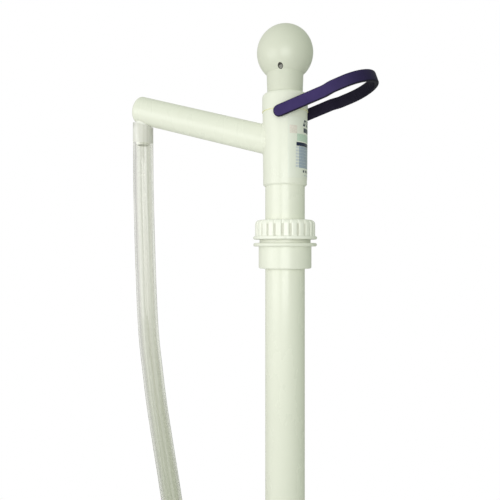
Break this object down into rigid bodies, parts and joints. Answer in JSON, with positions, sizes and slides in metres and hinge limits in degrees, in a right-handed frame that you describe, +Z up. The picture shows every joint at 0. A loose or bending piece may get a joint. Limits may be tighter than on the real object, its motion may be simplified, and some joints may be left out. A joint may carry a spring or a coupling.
{
  "type": "drum barrel pump",
  "caption": "Hand lift pump for a drum: ball knob plunger in a PVC tube, angled spout with clear hose, carry loop and a ribbed bung adaptor with foot valve.",
  "frame": {"origin": "centre of the underside of the adaptor's flange, where it rests on the drum", "axes": "+Z up along the pump, -X towards the spout arm and hose, +X towards the carry loop"},
  "size_m": [0.2768, 0.0682, 1.1166],
  "materials": {
    "pvc": "glossy off-white PVC",
    "pvc_fitting": "semi-gloss moulded PVC",
    "knob": "glossy moulded plastic",
    "hose": "clear vinyl hose",
    "loop": "satin dark purple plastic",
    "label": "printed plastic film",
    "seal": "black nitrile rubber",
    "inner_plastic": "natural acetal",
    "steel": "stainless steel"
  },
  "bodies": {
    "adaptor": {"bung_adaptor": "pvc_fitting", "tube_seal": "seal"},
    "washer": {"thrust_washer": "steel"},
    "nut": {"clamp_nut": "pvc_fitting"},
    "collet": {"grip_ring": "inner_plastic"},
    "pump": {"suction_tube": "pvc", "outlet_tee": "pvc", "spout_arm": "pvc", "spout_elbow": "pvc", "hose_spigot": "pvc", "discharge_hose": "hose", "label": "label", "top_collar": "pvc", "guide_bush": "inner_plastic", "rod_seal": "seal", "bail_pins": "steel", "foot_valve_body": "pvc", "ball_stop_pin": "steel"},
    "bail": {"carry_bail": "loop"},
    "piston_ring": {"piston_seal": "seal"},
    "plunger": {"plunger_rod": "pvc", "ball_knob": "knob", "knob_set_screw": "steel", "stop_collar": "inner_plastic", "piston_body": "inner_plastic"},
    "flap": {"piston_valve": "seal"},
    "foot_ball": {"foot_valve_ball": "steel"}
  },
  "joints": [
    {"name": "nut_travel", "type": "slide", "parent": "adaptor", "child": "washer", "axis": [0, 0, 1], "range_m": [0, 0.005]},
    {"name": "nut_turn", "type": "hinge", "parent": "washer", "child": "nut", "pos_m": [0, 0, 0.018], "axis": [0, 0, 1], "range_deg": [0, 720]},
    {"name": "spout_swivel", "type": "hinge", "parent": "adaptor", "child": "collet", "pos_m": [0, 0, 0.015], "axis": [0, 0, 1], "continuous": true},
    {"name": "tube_height", "type": "slide", "parent": "collet", "child": "pump", "axis": [0, 0, 1], "range_m": [-0.025, 0.35]},
    {"name": "bail_swing", "type": "hinge", "parent": "pump", "child": "bail", "pos_m": [0, 0, 0.1389], "axis": [0, -1, 0], "range_deg": [-82, 46]},
    {"name": "plunger_stroke", "type": "slide", "parent": "pump", "child": "piston_ring", "axis": [0, 0, 1], "range_m": [0, 0.39]},
    {"name": "knob_turn", "type": "hinge", "parent": "piston_ring", "child": "plunger", "pos_m": [0, 0, 0.16], "axis": [0, 0, 1], "continuous": true},
    {"name": "piston_valve_lift", "type": "slide", "parent": "plunger", "child": "flap", "axis": [0, 0, 1], "range_m": [0, 0.0038]},
    {"name": "foot_ball_lift", "type": "slide", "parent": "pump", "child": "foot_ball", "axis": [0, 0, 1], "range_m": [0, 0.005]}
  ],
  "couplings": [
    {"joint": "nut_travel", "follows": "nut_turn", "m_per_rad": 0.00039789}
  ]
}
